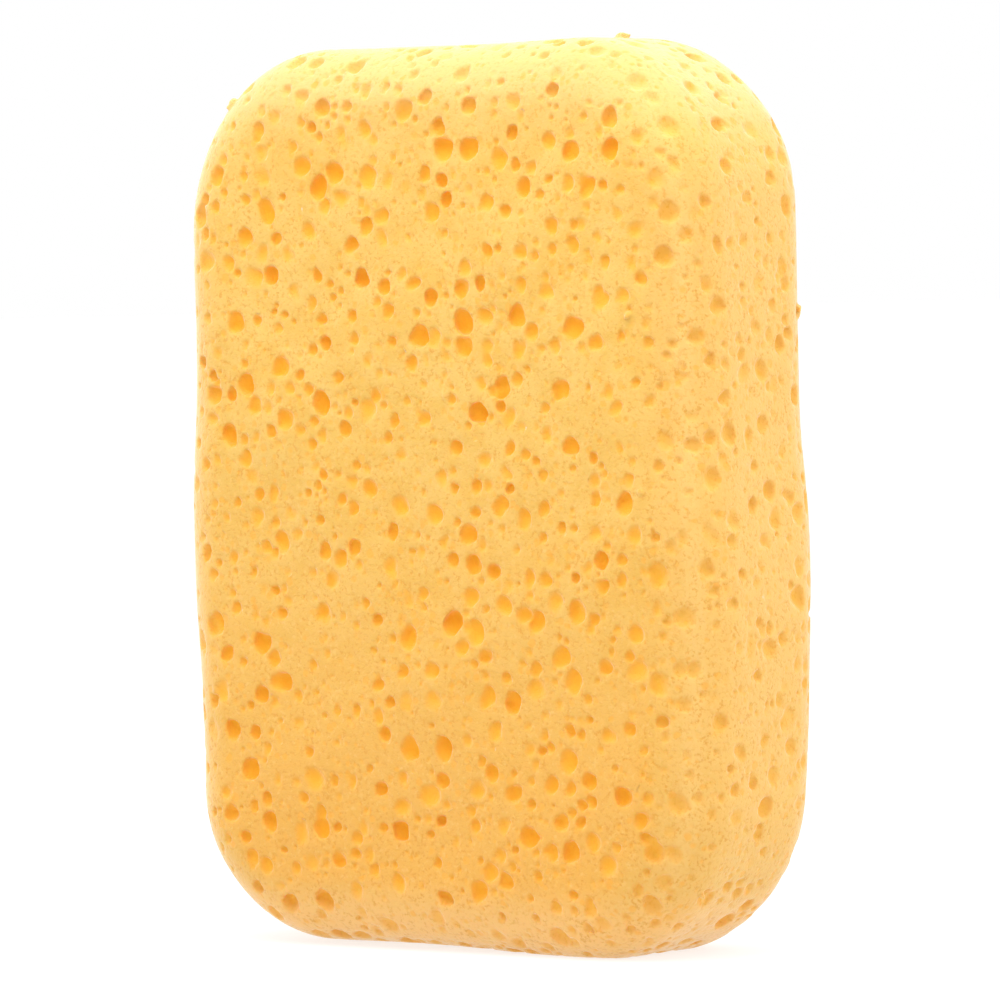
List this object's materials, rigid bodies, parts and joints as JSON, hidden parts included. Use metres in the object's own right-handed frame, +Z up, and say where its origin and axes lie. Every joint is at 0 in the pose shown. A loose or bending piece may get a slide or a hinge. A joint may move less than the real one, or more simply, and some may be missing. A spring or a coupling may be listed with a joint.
{
  "type": "grout sponge",
  "caption": "Rounded block of open-cell foam for wiping grout from tiles, with flat wiping faces and rolled-over edges.",
  "frame": {"origin": "centre of the block's footprint, on the surface that it stands on", "axes": "+Z up along the length, X across the width, Y through the thickness; the front wiping face looks along -Y"},
  "size_m": [0.14, 0.048, 0.19],
  "materials": {
    "foam": "matte open-cell foam, pale yellow-orange skin with deeper orange bubble holes"
  },
  "bodies": {
    "root": {"sponge": "foam"}
  },
  "joints": []
}
